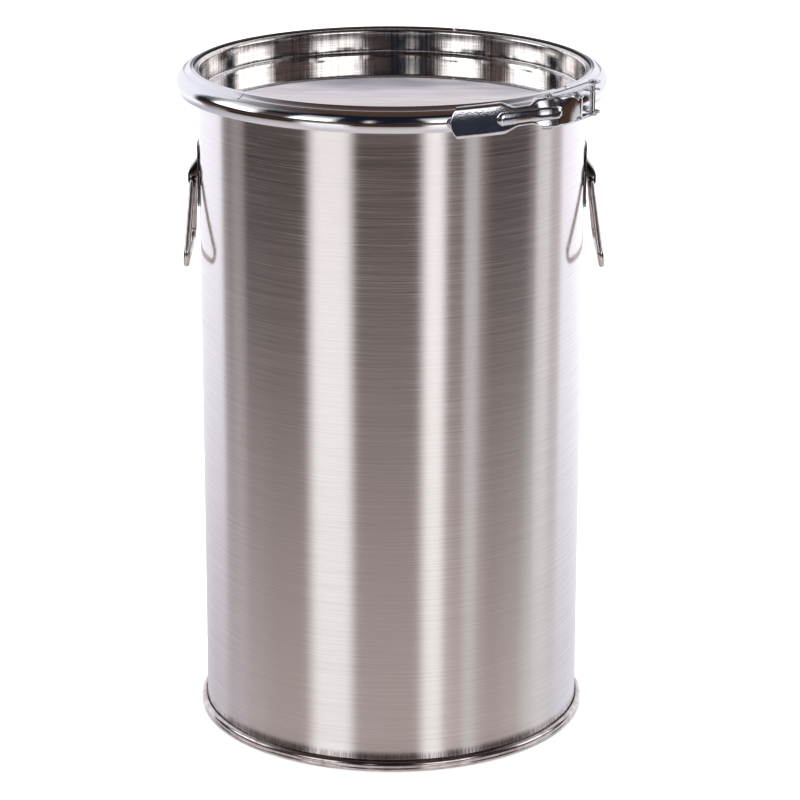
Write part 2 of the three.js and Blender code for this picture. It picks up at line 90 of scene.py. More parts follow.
RING_SHEET = 1.5
RING_FACE = (176.8, 581.6, 12.2)  # centre and radius of its round face
RING_TOP_EDGE = 173.6
RING_BOTTOM_EDGE = 174.5
RING_SLOPE = 0.49
RING_RIDGES = ((176.4, 0.36, 0.25), (182.1, 0.05, 0.2))  # radius, lift of the flange, height
RING_GAP = (51.8, 57.4)
RING_SLITS = (-44.3, 161)
SLIT_RADIUS = 176.2
SLIT_REACH = 15.6
SLIT_WIDTH = 1.1
BRIDGE_AZ = (48.4, 60.4)
BRIDGE_RADII = (184.4, 185.4)
BRIDGE_Z = (578, 586.5)

LID_PANEL_EDGE = 159
LID_WALL_RADIUS = 168.25
LID_INNER_ROUND = 3.5
LID_CROWN_END = 173.8
LID_RIM_RADIUS = 183.5
LID_SKIRT_Z = 584

LATCH_SHEET = 1.5
LEVER_PIN = (50.3, 202)  # azimuth and radius, as for the two below
LINK_RIVET = (41.4, 196.3)
LINK_PIN = (59, 198)
PIN_HOLE = 2.95
THROUGH = 20  # how far a cut reaches above and below the ring's middle
LEVER_FACE = [
    (9, 198.8), (14.3, 196.05), (20.5, 194.9), (26.5, 196.0), (31, 197.2), (37, 199.4), (41.2, 203.5),
    (45.5, 205.2), (50.3, 206), (55, 205.6),
]
LEVER_TIP_AZ = 14.3
GRIP_HALF_HEIGHT = 13
NECK_HALF_HEIGHT = 8
CHEEK_FLARE = 3.8
RIB_AZ = (26.7, 43.6)
RIB_HALF_HEIGHT = 4.8
RIB_RISE = 1.8
GRIP_DROOP = 2.1
LINK_TILT = 2.0
EAR_Z = 8.35
EAR_ROOTS = (180.6, 188.9)  # radius of the ring under the upper and the lower ear
EAR_NOSES = (5, 6)  # radius of the ears' round end on the lever's bracket and on the catch
JAW_REACH = 12
JAW_HALF_WIDTH = 3.3
LINK_PLATE_Z = 12.2
LINK_HALF_WIDTH = 4.7

PLATE_HALF_WIDTH = 20
PLATE_CORNER = 8
PLATE_SHEET = 1.5
TONGUE_SHEET = 1.3
TONGUE_HALF_WIDTH = 10
TONGUE_TOP = 512
TONGUE_TURN = 501
WINDOW_HALF_WIDTH = 10.4
WINDOW_LOW = 485
WELD_SPOTS = ((0, 520.5), (-14, 476), (14, 476))
WELD_SPOT_SIZE = (3, 0.7)  # radius and height
BAIL_Z = 493
BAIL_R = 175.3
WIRE_RADIUS = 2.75
WIRE_SIDES = 24
BAIL_LEAN = {"left": 4, "right": 7.5}
BAIL_DROP = 67.5
BAIL_HALF_TOP, BAIL_HALF_FOOT = 17, 57.5
BAIL_BEND_TOP, BAIL_BEND_FOOT = 7, 17


# ---------------------------------------------------------------- lines and outlines


def polar(az, r):
    a = math.radians(az)
    return (r * math.sin(a), -r * math.cos(a))


def smooth(low, high, x):
    t = min(max((x - low) / (high - low), 0), 1)
    return t * t * (3 - 2 * t)


def arc(cx, cy, radius, start, end, steps):
    angles = [math.radians(start + (end - start) * i / steps) for i in range(steps + 1)]
    return [(cx + radius * math.cos(a), cy + radius * math.sin(a)) for a in angles]


def bend(*corners, steps=6):
    """A line through corners (x, y, reach), each rounded from that far before it to that far after it."""
    line = []
    for i, (x, y, reach) in enumerate(corners):
        if not reach:
            line.append((x, y))
            continue
        p = Vector((x, y))
        before = (Vector(corners[i - 1][:2]) - p).normalized()
        after = (Vector(corners[(i + 1) % len(corners)][:2]) - p).normalized()
        half = before.angle(after) / 2
        centre = p + (before + after).normalized() * reach / math.cos(half)
        a, b = p + before * reach - centre, p + after * reach - centre
        start = math.atan2(a.y, a.x)
        sweep = (math.atan2(b.y, b.x) - start + math.pi) % (2 * math.pi) - math.pi
        for k in range(steps + 1):
            t = start + sweep * k / steps
            line.append((centre.x + a.length * math.cos(t), centre.y + a.length * math.sin(t)))
    return line


def offset(line, distance):
    """The same line moved sideways, to its left if the distance is positive."""
    points = [Vector(p) for p in line]
    moved = []
    for i, p in enumerate(points):
        before, after = points[max(i - 1, 0)], points[min(i + 1, len(points) - 1)]
        into, out = (p - before).normalized(), (after - p).normalized()
        along = (into + out).normalized()
        spread = distance / max(along.dot(out if i == 0 else into), 0.5)
        moved.append((p.x - along.y * spread, p.y + along.x * spread))
    return moved


def round_box(left, right, low, high):
    """The outline of a strip's section."""
    corners = ((left, low), (right, low), (right, high), (left, high))
    return bend(*[(r, z, 0.3) for r, z in corners], steps=3)


def sheet(line, thickness):
    """The outline of a sheet round its middle line."""
    return offset(line, thickness / 2) + offset(line, -thickness / 2)[::-1]


def strap(line, half_width):
    """The outline of a strap with round ends round a middle line."""
    left, right = offset(line, half_width), offset(line, -half_width)
    (ax, ay), (bx, by) = line[0], line[-1]
    first = math.degrees(math.atan2(line[1][1] - ay, line[1][0] - ax))
    last = math.degrees(math.atan2(by - line[-2][1], bx - line[-2][0]))
    return (
        right[1:-1]
        + arc(bx, by, half_width, last - 90, last + 90, 16)
        + left[1:-1][::-1]
        + arc(ax, ay, half_width, first + 90, first + 270, 16)
    )


# ---------------------------------------------------------------- meshes


def new_object(name, data):
    """An object in the scene."""
    obj = bpy.data.objects.new(name, data)
    bpy.context.scene.collection.objects.link(obj)
    return obj


def skin(rings, closed=True):
    """Faces from each ring of vertex numbers to the next, and from the last to the first if it's closed."""
    faces = []
    for j in range(len(rings) if closed else len(rings) - 1):
        a, b = rings[j], rings[(j + 1) % len(rings)]
        for k in range(len(a)):
            n = (k + 1) % len(a)
            face = list(dict.fromkeys([a[k], a[n], b[n], b[k]]))
            if len(face) > 2:
                faces.append(face)
    return faces


def lathe(outline, azimuths=None, shift=None):
    """A closed outline of (radius, height) turned about the can's axis. Azimuths make a part turn with flat
    ends; shift moves a point (r, z, azimuth) to (r, z)."""
    whole = azimuths is None
    angles = [360 * i / TURN_STEPS for i in range(TURN_STEPS)] if whole else azimuths
    verts, rings = [], []
    for az in angles:
        ring = []
        for k, (r, z) in enumerate(outline):
            if r < 1e-6 and rings:
                ring.append(rings[0][k])
                continue
            if shift:
                r, z = shift(r, z, az)
            ring.append(len(verts))
            verts.append((*polar(az, r), z))
        rings.append(ring)
    faces = skin(rings, whole)
    if not whole:
        faces += [rings[0][::-1], rings[-1]]
    return verts, faces


def turn_steps(low, high, step=0.5):
    count = max(2, math.ceil((high - low) / step))
    return [low + (high - low) * i / count for i in range(count + 1)]


def to_mesh(name, verts, faces, weld=0):
    """A mesh with its faces turned outwards. Points nearer to each other than weld become one."""
    mesh = bpy.data.meshes.new(name)
    mesh.from_pydata(verts, [], faces)
    bm = bmesh.new()
    bm.from_mesh(mesh)
    if weld:
        bmesh.ops.remove_doubles(bm, verts=bm.verts, dist=weld)
    bmesh.ops.recalc_face_normals(bm, faces=bm.faces)
    bm.to_mesh(mesh)
    bm.free()
    return mesh


def slab(loops, low, high, edge, place=None, cuts=()):
    """A flat shape in x and y, its first loop the outline and the rest holes, between two heights, with round
    edges. Cuts are x values where it's divided, so that place can bend it."""
    curve = bpy.data.curves.new("slab", "CURVE")
    curve.dimensions = "2D"
    curve.fill_mode = "BOTH"
    curve.extrude = (high - low) / 2 - edge
    curve.bevel_depth = edge
    curve.bevel_resolution = 2
    curve.offset = -edge
    for loop in loops:
        spline = curve.splines.new("POLY")
        spline.points.add(len(loop) - 1)
        for p, (x, y) in zip(spline.points, loop):
            p.co = (x, y, 0, 1)
        spline.use_cyclic_u = True
    holder = new_object("slab", curve)
    mesh = bpy.data.meshes.new_from_object(holder.evaluated_get(bpy.context.evaluated_depsgraph_get()))
    bpy.data.objects.remove(holder)
    bm = bmesh.new()
    bm.from_mesh(mesh)
    bmesh.ops.remove_doubles(bm, verts=bm.verts, dist=1e-3)
    for x in cuts:
        geom = bm.verts[:] + bm.edges[:] + bm.faces[:]
        bmesh.ops.bisect_plane(bm, geom=geom, plane_co=(x, 0, 0), plane_no=(1, 0, 0))
    for v in bm.verts:
        v.co.z += (low + high) / 2
        if place:
            v.co = place(*v.co)
    bm.verts.ensure_lookup_table()
    bm.verts.index_update()
    made = [tuple(v.co) for v in bm.verts], [[v.index for v in f.verts] for f in bm.faces]
    bm.free()
    return made


def merged(*parts):
    """Several parts as one."""
    verts, faces = [], []
    for v, f in parts:
        faces += [[i + len(verts) for i in face] for face in f]
        verts += v
    return verts, faces


def turned(part, matrix):
    return [tuple(matrix @ Vector(v)) for v in part[0]], part[1]


def loft(sections):
    """Closed rings of points, joined one after another and the last to the first."""
    n = len(sections[0])
    verts = [p for s in sections for p in s]
    return verts, skin([list(range(j * n, (j + 1) * n)) for j in range(len(sections))])


def upright(az, r, profile, rough=0.0):
    """A profile of (radius, height) turned about an upright line on the can's outside, uneven if rough."""
    steps = 48
    px, py = polar(az, r)
    verts, rings = [], []
    for i in range(steps):
        a = 2 * math.pi * i / steps
        ring = []
        for k, (q, z) in enumerate(profile):
            if q < 1e-6 and rings:
                ring.append(rings[0][k])
                continue
            x, y = px + q * math.cos(a), py + q * math.sin(a)
            ring.append(len(verts))
            wobble = rough * noise.noise(Vector((x, y, z)) * 0.9) if rough else 0
            verts.append((x + wobble * math.cos(a) * 0.6, y + wobble * math.sin(a) * 0.6, z + wobble))
        rings.append(ring)
    return verts, skin(rings)


def holder_of(name, part, weld=0):
    return new_object(name, to_mesh(name, *part, weld))


def settle(obj):
    """The object with its modifiers applied."""
    bpy.context.view_layer.update()
    mesh = bpy.data.meshes.new_from_object(obj.evaluated_get(bpy.context.evaluated_depsgraph_get()))
    obj.modifiers.clear()
    obj.data = mesh


def cut(obj, *cutters, join=False, solver="EXACT"):
    """Cuts each part out of the object, or joins it on."""
    for part in cutters:
        other = holder_of("cutter", part)
        modifier = obj.modifiers.new("cut", "BOOLEAN")
        modifier.operation = "UNION" if join else "DIFFERENCE"
        modifier.solver = solver
        modifier.object = other
        settle(obj)
        bpy.data.objects.remove(other)


def round_edges(obj, width, angle=40):
    modifier = obj.modifiers.new("edges", "BEVEL")
    modifier.width = width
    modifier.segments = 2
    modifier.limit_method = "ANGLE"
    modifier.angle_limit = math.radians(angle)
    modifier.use_clamp_overlap = True
    settle(obj)
    return obj


def finish_piece(obj, body, materials, nodes, sharp=38, pick=None):
    """Scales the piece to metres, shades it, and puts it on its body in place of its CAD nodes."""
    mesh = obj.data
    mesh.transform(Matrix.Scale(MM, 4))
    mesh.materials.clear()
    for m in materials:
        mesh.materials.append(m)
    for face in mesh.polygons:
        face.use_smooth = True
        face.material_index = pick(face.center / MM) if pick else 0
    mesh.set_sharp_from_angle(angle=math.radians(sharp))
    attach(obj, body)
    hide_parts(*nodes)


# ---------------------------------------------------------------- materials

# Where the wall's brushing fades in and its smudged foot fades out, in metres up the can.
RUBBED_Z = (0.03, 0.50)
SMUDGED_Z = (0.0125, 0.0175)


class Tree:
    """A short way to write a node tree."""

    def __init__(self, tree):
        self.nodes, self.links = tree.nodes, tree.links
        self.nodes.clear()

    def add(self, kind, inputs=None, **settings):
        node = self.nodes.new(kind)
        for key, value in settings.items():
            setattr(node, key, value)
        for key, value in (inputs or {}).items():
            if isinstance(value, bpy.types.NodeSocket):
                self.links.new(value, node.inputs[key])
            else:
                node.inputs[key].default_value = value
        return node

    def place(self):
        """A point of the piece, in metres."""
        return self.add("ShaderNodeTexCoord").outputs["Object"]

    def math(self, operation, a, b=0.0):
        return self.add("ShaderNodeMath", {0: a, 1: b}, operation=operation).outputs[0]

    def ramp(self, factor, stops, interpolation="LINEAR"):
        node = self.add("ShaderNodeValToRGB", {"Fac": factor})
        band = node.color_ramp
        band.interpolation = interpolation
        for i, (place, value) in enumerate(stops):
            element = band.elements[i] if i < 2 else band.elements.new(place)
            element.position = place
            element.color = (*value, 1) if isinstance(value, tuple) else (value, value, value, 1)
        return node.outputs["Color"]

    def mix(self, factor, a, b):
        node = self.add("ShaderNodeMix", data_type="RGBA")
        for socket, value in ((0, factor), (6, a), (7, b)):
            if isinstance(value, bpy.types.NodeSocket):
                self.links.new(value, node.inputs[socket])
            else:
                node.inputs[socket].default_value = (*value, 1) if isinstance(value, tuple) else value
        return node.outputs[2]

    def span(self, value, low, high, to_low=0.0, to_high=1.0, smoothly=False):
        """The value's place between low and high, as a number from to_low to to_high."""
        node = self.add("ShaderNodeMapRange", {0: value, 1: low, 2: high, 3: to_low, 4: to_high})
        node.interpolation_type = "SMOOTHSTEP" if smoothly else "LINEAR"
        return node.outputs[0]

    def grain(self, scale, detail, rough):
        """Noise from 0 to 1, stretched by a different scale along each axis."""
        moved = self.add("ShaderNodeMapping", {"Vector": self.place(), "Scale": scale}).outputs[0]
        settings = {"Vector": moved, "Scale": 1.0, "Detail": detail, "Roughness": rough}
        return self.add("ShaderNodeTexNoise", settings).outputs[0]


def new_material(name):
    material = bpy.data.materials.new(name)
    material.use_nodes = True
    return material, Tree(material.node_tree)


def surface(t, metallic, color, roughness, normal=None, **sockets):
    """The shader and its output. Other sockets are named with _ for each space."""
    inputs = {"Metallic": metallic, "Base Color": color, "Roughness": roughness}
    if normal is not None:
        inputs["Normal"] = normal
    inputs.update({k.replace("_", " "): v for k, v in sockets.items()})
    shader = t.add("ShaderNodeBsdfPrincipled", inputs)
    t.add("ShaderNodeOutputMaterial", {"Surface": shader.outputs[0]})


def bump(t, height, strength, distance):
    return t.add("ShaderNodeBump", {"Height": height, "Strength": strength, "Distance": distance}).outputs[0]


def brushed_wall():
    """Sheet brushed round the can: long fine scratches, a satin that spreads light up and down, faint stains
    and a foot smudged with upright marks."""
    material, t = new_material("brushed_stainless")
    z = t.add("ShaderNodeSeparateXYZ", {0: t.place()}).outputs[2]
    fine = t.grain((9, 9, 1900), 3, 0.65)
    coarse = t.grain((13, 13, 850), 3, 0.65)
    patches = t.grain((6, 6, 3.5), 3, 0.55)
    uprights = t.grain((950, 950, 30), 3, 0.6)
    streak = t.mix(0.42, fine, coarse)
    scratch = t.math("MULTIPLY", t.span(fine, 0.58, 0.72), t.span(patches, 0.35, 0.6, 0.35, 1.0))
    rubbed = t.span(z, *RUBBED_Z, 0.35, 1.0, True)
    scratch = t.math("MULTIPLY", scratch, rubbed)
    color = t.mix(t.span(streak, 0.36, 0.64), (0.74, 0.69, 0.685), (0.905, 0.862, 0.862))
    color = t.mix(t.span(patches, 0.35, 0.75, 0.0, 0.10), color, (0.62, 0.56, 0.53))
    foot = t.span(z, *SMUDGED_Z, 1.0, 0.0, True)
    smudge = t.math("MULTIPLY", foot, t.span(uprights, 0.36, 0.60, 0.15, 0.65))
    color = t.mix(smudge, color, (0.16, 0.13, 0.125))
    roughness = t.math("ADD", t.span(streak, 0.35, 0.65, 0.13, 0.20), t.math("MULTIPLY", scratch, 0.09))
    normal = bump(t, t.mix(foot, streak, uprights), t.math("MULTIPLY", rubbed, 0.13), 0.00007)
    tangent = t.add("ShaderNodeTangent", direction_type="RADIAL", axis="Z").outputs[0]
    surface(t, 1.0, color, roughness, normal, Anisotropic=0.75, Anisotropic_Rotation=0.25, Tangent=tangent)
    return material


def base_metal():
    """The drawn base sheet: satin, rubbed darker by handling along its seam."""
    material, t = new_material("base_stainless")
    fine = t.grain((8, 8, 1500), 3, 0.6)
    spots = t.grain((90, 90, 90), 4, 0.6)
    color = t.mix(t.span(spots, 0.35, 0.7), (0.76, 0.70, 0.69), (0.46, 0.40, 0.385))
    roughness = t.span(spots, 0.3, 0.7, 0.07, 0.18)
    normal = bump(t, t.mix(0.4, fine, spots), 0.10, 0.0001)
    surface(t, 1.0, color, roughness, normal)
    return material


def lid_wall_metal():
    """The drawn wall of the lid: upright draw marks crossed by fine turning marks."""
    material, t = new_material("lid_wall_stainless")
    rings = t.grain((10, 10, 3000), 2, 0.6)
    uprights = t.grain((420, 420, 8), 3, 0.7)
    broad = t.grain((70, 70, 4), 2, 0.5)
    marks = t.mix(0.45, uprights, rings)
    color = t.mix(t.span(marks, 0.38, 0.60), (0.50, 0.45, 0.43), (0.97, 0.95, 0.94))
    roughness = t.span(marks, 0.3, 0.7, 0.06, 0.14)
    normal = bump(t, t.mix(0.75, broad, uprights), 0.5, 0.0002)
    surface(t, 1.0, color, roughness, normal)
    return material


def lid_panel_metal():
    """The lid's flat panel, nearly a mirror, slightly wavy, with faint cloudy wiping marks."""
    material, t = new_material("lid_panel_stainless")
    waves = t.grain((9, 9, 9), 2, 0.4)
    wipes = t.grain((14, 160, 20), 3, 0.6)
    color = t.mix(t.span(wipes, 0.35, 0.7), (0.86, 0.835, 0.83), (0.80, 0.775, 0.775))
    roughness = t.span(wipes, 0.3, 0.75, 0.02, 0.055)
    normal = bump(t, waves, 0.12, 0.0010)
    surface(t, 1.0, color, roughness, normal)
    return material


def chrome(name, peel_size, peel_share, depth):
    """Plated ring or lever: a mirror with slow waves, orange peel and fine pits."""
    material, t = new_material(name)
    peel = t.grain((peel_size,) * 3, 3, 0.55)
    waves = t.grain((30, 30, 30), 2, 0.5)
    dust = t.grain((900, 900, 900), 2, 0.6)
    color = t.mix(t.span(dust, 0.60, 0.78), (0.84, 0.84, 0.875), (0.62, 0.62, 0.67))
    roughness = t.math("ADD", t.span(dust, 0.4, 0.75, 0.035, 0.10), t.span(waves, 0.3, 0.7, 0.0, 0.03))
    normal = bump(t, t.mix(peel_share, waves, peel), depth, 0.00035)
    surface(t, 1.0, color, roughness, normal)
    return material


def handle_metal(name, clean, worn):
    """Polished wire or pressed plate, with light scratches and darker rubbed patches."""
    material, t = new_material(name)
    scratches = t.grain((240, 700, 240), 3, 0.6)
    patches = t.grain((60, 60, 60), 3, 0.6)
    color = t.mix(t.span(patches, 0.35, 0.7), clean, worn)
    roughness = t.span(scratches, 0.3, 0.75, 0.09, 0.2)
    normal = bump(t, t.mix(0.5, scratches, patches), 0.14, 0.00025)
    surface(t, 1.0, color, roughness, normal)
    return material


def rubber():
    """Grey food-grade sealing rubber, matt and slightly mottled."""
    material, t = new_material("seal_rubber_grey")
    mottle = t.grain((180, 180, 180), 4, 0.6)
    color = t.mix(mottle, (0.20, 0.195, 0.19), (0.29, 0.28, 0.27))
    normal = bump(t, mottle, 0.3, 0.0002)
    surface(t, 0.0, color, t.span(mottle, 0.3, 0.7, 0.55, 0.72), normal)
    return material


def darkened_edge_metal():
    """The inner edge of the clamp ring's top flange, coloured dull and nearly black."""
    material, t = new_material("darkened_ring_edge")
    edge_mottling = t.grain((500, 500, 1500), 3, 0.6)
    # The edge's colour is kept nearly black, far darker than the ring's chrome.
    color = t.mix(edge_mottling, (0.035, 0.03, 0.03), (0.16, 0.145, 0.14))
    surface(t, 1.0, color, t.span(edge_mottling, 0.3, 0.7, 0.35, 0.55), bump(t, edge_mottling, 0.4, 0.0002))
    return material


EDGE = darkened_edge_metal()
BRUSHED = brushed_wall()
BASE = base_metal()
LID_WALL = lid_wall_metal()
LID_DISC = lid_panel_metal()
CHROME = chrome("ring_chrome", 260, 0.3, 0.16)
LEVER_CHROME = chrome("lever_chrome", 800, 0.8, 0.28)
HANDLE = handle_metal("handle_stainless", (0.78, 0.72, 0.70), (0.52, 0.46, 0.44))
PLATE = handle_metal("plate_stainless", (0.20, 0.18, 0.175), (0.10, 0.088, 0.085))
RUBBER = rubber()


# ---------------------------------------------------------------- body and base


def body_line():
    """The middle of the body's sheet: hook in the seam, wall and rolled bead."""
    half = SHEET / 2
    wall = BODY_RADIUS - half
    low, high = BODY_HOOK_Z
    hook = bend(
        (BODY_HOOK_RADIUS, high, 0),
        (BODY_HOOK_RADIUS, low, BODY_HOOK_BEND),
        (wall, low, BODY_HOOK_BEND),
        (wall, 4, 0),
        steps=5,
    )
    flare = [(wall + out, z) for z, out in FLARE]
    walls = [(wall, z) for z in WALL_Z]
    return hook + flare + walls + arc(INNER_RADIUS + CURL_RADIUS, CURL_Z, CURL_RADIUS - half, 180, -120, 40)


def weld_ridge(r, z, az):
    """The wall's lengthwise weld at the back, dressed almost flush, and the faint waves of rolled sheet."""
    flare_end, bead_start = FLARE[-1][0], CURL_Z - 8
    if not flare_end < z < bead_start:
        return r, z
    width, height, wave = 1.6, 0.16, 0.05
    off = (az - BACK_WELD_AZ) * math.radians(r)
    bead = height * math.exp(-((off / width) ** 2)) if r > INNER_RADIUS + 0.2 else 0
    waves = wave * noise.noise(Vector((*polar(az, 2.2), z * 0.006)))
    return r + bead + waves * smooth(8, 60, z) * smooth(bead_start, CURL_Z - 60, z), z


def make_body():
    """Turned in steps that are finer across the weld. The two flat ends meet, and are dropped and joined."""
    fine = [BACK_WELD_AZ + d for d in (-1.4, -1.0, -0.75, -0.5, -0.25, 0, 0.25, 0.5, 0.75, 1.0, 1.4)]
    rest = [i * 360 / TURN_STEPS for i in range(TURN_STEPS)]
    azimuths = sorted([az for az in rest if abs(az - BACK_WELD_AZ) > 1.6] + fine)
    verts, faces = lathe(sheet(body_line(), SHEET), azimuths + [360], weld_ridge)
    obj = holder_of("can_body", (verts, faces[:-2]), 1e-4)
    finish_piece(obj, "can", [BRUSHED], ["body_shell"])


def make_base():
    """The base sheet: raised floor with a shallow dished border, then the rolls and the hook of the seam."""
    half = SHEET / 2
    wall = INNER_RADIUS - GAP - half
    floor, seam = BASE_FLOOR - half, SEAM_HEIGHT - half
    hook = BODY_RADIUS + 1 + half
    pan = bend(
        (0, floor, 0),
        (wall - 28, floor, 3),
        (wall - 24, floor - BASE_DISH, 3),
        (wall - 3.5, floor - BASE_DISH, 2),
        (wall, floor - 3.5, 2),
        (wall, half, 0.8),
        (SEAM_LIP_RADIUS, half, 0),
        steps=6,
    )
    line = pan[:-1] + arc(SEAM_LIP_RADIUS, half + SEAM_LIP, SEAM_LIP, -90, 45, 12)
    line += arc(SEAM_RADIUS - half - SEAM_ROLL, seam - SEAM_ROLL, SEAM_ROLL, -45, 88, 18)
    line += [(hook + 0.3, seam - 0.1), (hook, 3.2)]
    obj = holder_of("base_and_seam", lathe(sheet(line, SHEET)))
    finish_piece(obj, "can", [BASE], ["base_pan"])


# ---------------------------------------------------------------- handles


def wall_place(across, up, depth):
    """A point of a plate laid on the right side of the wall."""
    r = BODY_RADIUS + 0.3 + depth
    a = across / (BODY_RADIUS + 1)
    return Vector((r * math.cos(a), r * math.sin(a), up))


def dome(radius, rise, across, up, base_depth):
    """A low round button on a handle plate."""
    steps = 24
    rings = [(radius * math.cos(a), rise * math.sin(a)) for a in (math.radians(15 * i) for i in range(6))]
    verts = [tuple(wall_place(across, up, base_depth + rise))]
    for q, h in rings:
        for k in range(steps):
            a = 2 * math.pi * k / steps
            verts.append(tuple(wall_place(across + q * math.cos(a), up + q * math.sin(a), base_depth + h)))
    loops = [list(range(1 + j * steps, 1 + (j + 1) * steps)) for j in range(len(rings))]
    faces = skin(loops, False)
    faces += [[0, loops[-1][k], loops[-1][(k + 1) % steps]] for k in range(steps)]
    return verts, faces + [loops[0][::-1]]


def stood_up(x, y, z):
    return Vector((x, z, y))


def plate_part():
    """The right handle plate: its window, the tongue pressed out of it and rolled round the bail, the
    tongue's side walls, and the marks of three spot welds."""
    corner, across = PLATE_CORNER, PLATE_HALF_WIDTH - PLATE_CORNER
    low, high = PLATE_LOW[2] + corner, PLATE_HIGH[2] - corner
    face = []
    for turn, (x, y) in enumerate(((across, high), (-across, high), (-across, low), (across, low))):
        face += arc(x, y, corner, 90 * turn, 90 * turn + 90, 10)
    side, bottom, top = WINDOW_HALF_WIDTH, WINDOW_LOW, TONGUE_TOP
    window = bend((side, bottom, 1.5), (side, top, 1.5), (-side, top, 1.5), (-side, bottom, 1.5), steps=4)
    cuts = [x * 3.5 for x in range(-5, 6)]
    plate = slab([face, window[::-1]], 0, PLATE_SHEET, 0.4, wall_place, cuts)
    hook = WIRE_RADIUS + 0.45 + TONGUE_SHEET / 2
    inner, outer = BODY_RADIUS + 0.4 + TONGUE_SHEET / 2, BAIL_R + hook
    line = [(inner, top + 2.5, 0), (inner, top - 0.5, 1.5), (outer, TONGUE_TURN - 0.5, 3), (outer, BAIL_Z, 0)]
    line = bend(*line)
    line = line[:-1] + arc(BAIL_R, BAIL_Z, hook, 0, -112, 20)
    tongue = slab([sheet(line, TONGUE_SHEET)], -TONGUE_HALF_WIDTH, TONGUE_HALF_WIDTH, 0.4, stood_up)
    cheek = [(inner, top), (outer, TONGUE_TURN), (outer, BAIL_Z + 4.2), (inner, BAIL_Z + 4.2)]
    cheeks = [slab([cheek], y - 0.5, y + 0.5, 0.2, stood_up) for y in (-9.4, 9.4)]
    welds = [dome(*WELD_SPOT_SIZE, y, z, PLATE_SHEET - 0.1) for y, z in WELD_SPOTS]
    return merged(plate, tongue, *cheeks, *welds)


def bail_part(lean):
    """The right bail: one closed wire, hanging off the wall by its lean in degrees."""
    line = bend(
        (0, 0, 0),
        (BAIL_HALF_TOP, 0, BAIL_BEND_TOP),
        (BAIL_HALF_FOOT, -BAIL_DROP, BAIL_BEND_FOOT),
        (-BAIL_HALF_FOOT, -BAIL_DROP, BAIL_BEND_FOOT),
        (-BAIL_HALF_TOP, 0, BAIL_BEND_TOP),
        steps=14,
    )
    n = len(line)
    sections = []
    for i, (y, z) in enumerate(line):
        ahead = Vector(line[(i + 1) % n]) - Vector((y, z))
        behind = Vector((y, z)) - Vector(line[i - 1])
        along = (ahead.normalized() + behind.normalized()).normalized()
        side = Vector((-along.y, along.x)) / max(along.dot(ahead.normalized()), 0.7)
        ring = []
        for k in range(WIRE_SIDES):
            a = 2 * math.pi * k / WIRE_SIDES
            q = WIRE_RADIUS * math.cos(a)
            ring.append((WIRE_RADIUS * math.sin(a), y + side.x * q, z + side.y * q))
        sections.append(ring)
    swing = Matrix.Translation((BAIL_R, 0, BAIL_Z)) @ Matrix.Rotation(-math.radians(lean), 4, "Y")
    return turned(loft(sections), swing)


def make_handles():
    """Both handles. The left one is the right one turned half round, with a lean of its own."""
    half_turn = Matrix.Rotation(math.pi, 4, "Z")
    for side, lean in BAIL_LEAN.items():
        plate, bail = plate_part(), bail_part(lean)
        if side == "left":
            plate, bail = turned(plate, half_turn), turned(bail, half_turn)
        plate = holder_of(side + "_plate", plate)
        finish_piece(plate, "can", [PLATE], [side + "_handle_plate"])
        bail = holder_of(side + "_wire_bail", bail)
        finish_piece(bail, side + "_bail", [HANDLE], [side + "_bail"])


# ---------------------------------------------------------------- lid


def flange_z(r, outwards):
    """Height of the ring's sloping top flange at a radius, or of a parallel face that far outside it."""
    return RING_TOP - (r - RING_TOP_EDGE) * RING_SLOPE + outwards * math.hypot(1, RING_SLOPE)


def rim_middle(r):
    """Height of the middle of the lid's rim, which lies just under that flange."""
    return flange_z(r, -RING_SHEET - GAP - SHEET / 2)


def lid_ripple(r, z, az):
    """The uneven bright fold where the lid's wall meets its panel, and the slight waviness of the wall."""
    up, down = z - LID_PANEL, LID_TOP - z
    fold = smooth(160.5, 165, r) * (1 - smooth(3, 7, up))
    wall = smooth(2, 6, up) * smooth(2, 6, down) if r < 170 else 0
    x, y = polar(az, 1)
    ripple = noise.noise(Vector((x * 26, y * 26, 0.3))) + 0.6 * noise.noise(Vector((x * 60, y * 60, 1.7)))
    slow = noise.noise(Vector((x * 9, y * 9, z * 0.05)))
    return r + 0.28 * ripple * fold + 0.07 * slow * wall, z + 0.22 * ripple * fold


def lid_metal(centre):
    """Which of the lid's two metals a face has: 1 on the upper side of the panel, else 0."""
    return int(math.hypot(centre.x, centre.y) <= LID_PANEL_EDGE and centre.z >= LID_PANEL - 0.5)


def make_lid():
    """The lid's sheet: panel, a small step up to the fold, wall, crown, sloping rim and turned-down edge."""
    half = SHEET / 2
    panel, wall = LID_PANEL - half, LID_WALL_RADIUS
    crown = LID_INNER_ROUND - half
    line = [(r, panel) for r in (0, 40, 80, 115, 140, 155)]
    line += bend(
        (160.5, panel, 0),
        (wall - 3.05, panel, 1.2),
        (wall - 1.85, panel + 0.7, 0.6),
        (wall - 0.05, panel + 1.3, 1.2),
        (wall - 0.03, LID_PANEL + 6, 1.2),
        (wall, LID_PANEL + 12, 0),
        steps=5,
    )
    line += arc(wall + crown, LID_TOP - half - crown, crown, 180, 92, 12)
    edge = LID_RIM_RADIUS - half
    turn = edge - 0.6
    line += [(r, rim_middle(r)) for r in (LID_CROWN_END, 178)]
    line += bend((178, rim_middle(178), 0), (turn, rim_middle(turn), 2.4), (edge, LID_SKIRT_Z, 0))[1:]
    obj = holder_of("lid_dish", lathe(sheet(line, SHEET), None, lid_ripple))
    finish_piece(obj, "lid", [LID_WALL, LID_DISC], ["lid_pan"], 42, lid_metal)


# ---------------------------------------------------------------- clamp ring and latch


def ring_face(outwards, start, end, steps):
    """The ring's round face between two angles, or a face that far outside it."""
    r, z, radius = RING_FACE
    return arc(r, z, radius + outwards, start, end, steps)


